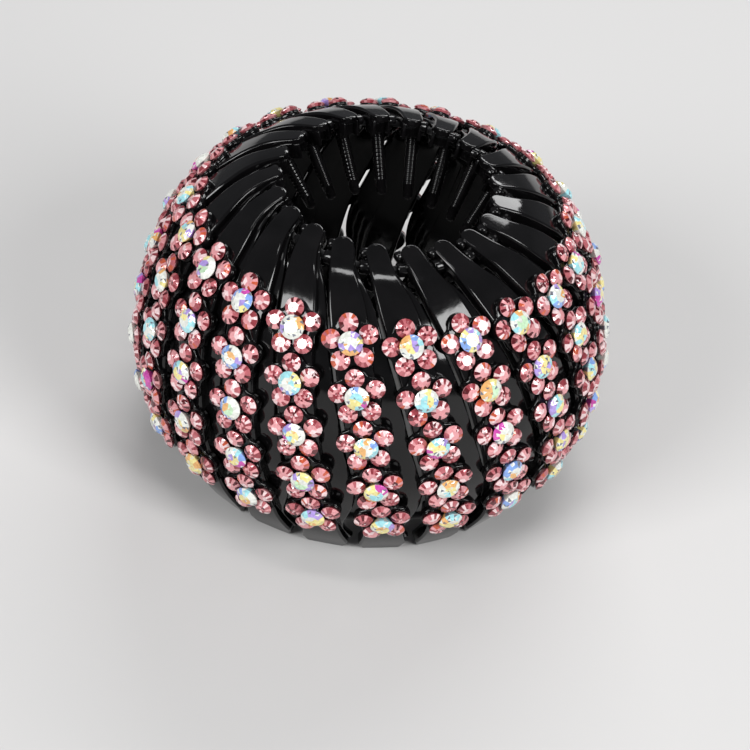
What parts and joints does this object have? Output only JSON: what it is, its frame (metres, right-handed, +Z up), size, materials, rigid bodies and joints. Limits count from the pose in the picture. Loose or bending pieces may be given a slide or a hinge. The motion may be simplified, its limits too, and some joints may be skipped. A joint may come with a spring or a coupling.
{
  "type": "rhinestone hair clip",
  "caption": "Expandable hair clip: a crown of curved black comb blades on elastic loops, each blade set with pink and iridescent rhinestone flowers.",
  "frame": {"origin": "centre of the crown on the plane of its feet", "axes": "+Z up through the opening, -Y towards the front; the blades lean clockwise towards the top, seen from above"},
  "size_m": [0.0693, 0.0693, 0.0454],
  "materials": {
    "black_plastic": "piano-black moulded plastic, polished, with fine moulding lines along the edges",
    "rhinestone": null,
    "ab_crystal": "clear faceted foil-backed glass with an iridescent aurora coating, for the centre stones",
    "elastic": "round black braided elastic cord"
  },
  "bodies": {
    "blade_01": {"blade_01": "black_plastic", "rhinestones_01": "rhinestone", "upper_elastic": "elastic", "lower_elastic": "elastic"},
    "blade_02": {"blade_02": "black_plastic", "rhinestones_02": "rhinestone"},
    "blade_03": {"blade_03": "black_plastic", "rhinestones_03": "rhinestone"},
    "blade_04": {"blade_04": "black_plastic", "rhinestones_04": "rhinestone"},
    "blade_05": {"blade_05": "black_plastic", "rhinestones_05": "rhinestone"},
    "blade_06": {"blade_06": "black_plastic", "rhinestones_06": "rhinestone"},
    "blade_07": {"blade_07": "black_plastic", "rhinestones_07": "rhinestone"},
    "blade_08": {"blade_08": "black_plastic", "rhinestones_08": "rhinestone"},
    "blade_09": {"blade_09": "black_plastic", "rhinestones_09": "rhinestone"},
    "blade_10": {"blade_10": "black_plastic", "rhinestones_10": "rhinestone"},
    "blade_11": {"blade_11": "black_plastic", "rhinestones_11": "rhinestone"},
    "blade_12": {"blade_12": "black_plastic", "rhinestones_12": "rhinestone"},
    "blade_13": {"blade_13": "black_plastic", "rhinestones_13": "rhinestone"},
    "blade_14": {"blade_14": "black_plastic", "rhinestones_14": "rhinestone"},
    "blade_15": {"blade_15": "black_plastic", "rhinestones_15": "rhinestone"},
    "blade_16": {"blade_16": "black_plastic", "rhinestones_16": "rhinestone"},
    "blade_17": {"blade_17": "black_plastic", "rhinestones_17": "rhinestone"},
    "blade_18": {"blade_18": "black_plastic", "rhinestones_18": "rhinestone"},
    "blade_19": {"blade_19": "black_plastic", "rhinestones_19": "rhinestone"},
    "blade_20": {"blade_20": "black_plastic", "rhinestones_20": "rhinestone"},
    "blade_21": {"blade_21": "black_plastic", "rhinestones_21": "rhinestone"}
  },
  "joints": [
    {"name": "spread_01_02", "type": "slide", "parent": "blade_01", "child": "blade_02", "axis": [-0.976, -0.2177, 0], "range_m": [0, 0.0036], "stiffness_N_per_m": 300, "deforming": ["upper_elastic", "lower_elastic"]},
    {"name": "spread_02_03", "type": "slide", "parent": "blade_02", "child": "blade_03", "axis": [-0.8685, -0.4957, 0], "range_m": [0, 0.0036], "stiffness_N_per_m": 300},
    {"name": "spread_03_04", "type": "slide", "parent": "blade_03", "child": "blade_04", "axis": [-0.6838, -0.7297, 0], "range_m": [0, 0.0036], "stiffness_N_per_m": 300},
    {"name": "spread_04_05", "type": "slide", "parent": "blade_04", "child": "blade_05", "axis": [-0.4384, -0.8988, 0], "range_m": [0, 0.0036], "stiffness_N_per_m": 300},
    {"name": "spread_05_06", "type": "slide", "parent": "blade_05", "child": "blade_06", "axis": [-0.154, -0.9881, 0], "range_m": [0, 0.0036], "stiffness_N_per_m": 300},
    {"name": "spread_06_07", "type": "slide", "parent": "blade_06", "child": "blade_07", "axis": [0.1441, -0.9896, 0], "range_m": [0, 0.0036], "stiffness_N_per_m": 300},
    {"name": "spread_07_08", "type": "slide", "parent": "blade_07", "child": "blade_08", "axis": [0.4294, -0.9031, 0], "range_m": [0, 0.0036], "stiffness_N_per_m": 300},
    {"name": "spread_08_09", "type": "slide", "parent": "blade_08", "child": "blade_09", "axis": [0.6765, -0.7364, 0], "range_m": [0, 0.0036], "stiffness_N_per_m": 300},
    {"name": "spread_09_10", "type": "slide", "parent": "blade_09", "child": "blade_10", "axis": [0.8635, -0.5043, 0], "range_m": [0, 0.0036], "stiffness_N_per_m": 300},
    {"name": "spread_10_11", "type": "slide", "parent": "blade_10", "child": "blade_11", "axis": [0.9738, -0.2274, 0], "range_m": [0, 0.0036], "stiffness_N_per_m": 300},
    {"name": "spread_11_12", "type": "slide", "parent": "blade_11", "child": "blade_12", "axis": [0.9976, 0.0698, 0], "range_m": [0, 0.0036], "stiffness_N_per_m": 300},
    {"name": "spread_12_13", "type": "slide", "parent": "blade_12", "child": "blade_13", "axis": [0.9327, 0.3607, 0], "range_m": [0, 0.0036], "stiffness_N_per_m": 300},
    {"name": "spread_13_14", "type": "slide", "parent": "blade_13", "child": "blade_14", "axis": [0.7849, 0.6196, 0], "range_m": [0, 0.0036], "stiffness_N_per_m": 300},
    {"name": "spread_14_15", "type": "slide", "parent": "blade_14", "child": "blade_15", "axis": [0.5674, 0.8234, 0], "range_m": [0, 0.0036], "stiffness_N_per_m": 300},
    {"name": "spread_15_16", "type": "slide", "parent": "blade_15", "child": "blade_16", "axis": [0.2995, 0.9541, 0], "range_m": [0, 0.0036], "stiffness_N_per_m": 300},
    {"name": "spread_16_17", "type": "slide", "parent": "blade_16", "child": "blade_17", "axis": [0.005, 1, 0], "range_m": [0, 0.0036], "stiffness_N_per_m": 300},
    {"name": "spread_17_18", "type": "slide", "parent": "blade_17", "child": "blade_18", "axis": [-0.29, 0.957, 0], "range_m": [0, 0.0036], "stiffness_N_per_m": 300},
    {"name": "spread_18_19", "type": "slide", "parent": "blade_18", "child": "blade_19", "axis": [-0.5592, 0.829, 0], "range_m": [0, 0.0036], "stiffness_N_per_m": 300},
    {"name": "spread_19_20", "type": "slide", "parent": "blade_19", "child": "blade_20", "axis": [-0.7787, 0.6274, 0], "range_m": [0, 0.0036], "stiffness_N_per_m": 300},
    {"name": "spread_20_21", "type": "slide", "parent": "blade_20", "child": "blade_21", "axis": [-0.929, 0.37, 0], "range_m": [0, 0.0036], "stiffness_N_per_m": 300}
  ],
  "couplings": [
    {"joint": "spread_02_03", "follows": "spread_01_02", "ratio": 1},
    {"joint": "spread_03_04", "follows": "spread_01_02", "ratio": 1},
    {"joint": "spread_04_05", "follows": "spread_01_02", "ratio": 1},
    {"joint": "spread_05_06", "follows": "spread_01_02", "ratio": 1},
    {"joint": "spread_06_07", "follows": "spread_01_02", "ratio": 1},
    {"joint": "spread_07_08", "follows": "spread_01_02", "ratio": 1},
    {"joint": "spread_08_09", "follows": "spread_01_02", "ratio": 1},
    {"joint": "spread_09_10", "follows": "spread_01_02", "ratio": 1},
    {"joint": "spread_10_11", "follows": "spread_01_02", "ratio": 1},
    {"joint": "spread_11_12", "follows": "spread_01_02", "ratio": 1},
    {"joint": "spread_12_13", "follows": "spread_01_02", "ratio": 1},
    {"joint": "spread_13_14", "follows": "spread_01_02", "ratio": 1},
    {"joint": "spread_14_15", "follows": "spread_01_02", "ratio": 1},
    {"joint": "spread_15_16", "follows": "spread_01_02", "ratio": 1},
    {"joint": "spread_16_17", "follows": "spread_01_02", "ratio": 1},
    {"joint": "spread_17_18", "follows": "spread_01_02", "ratio": 1},
    {"joint": "spread_18_19", "follows": "spread_01_02", "ratio": 1},
    {"joint": "spread_19_20", "follows": "spread_01_02", "ratio": 1},
    {"joint": "spread_20_21", "follows": "spread_01_02", "ratio": 1}
  ]
}
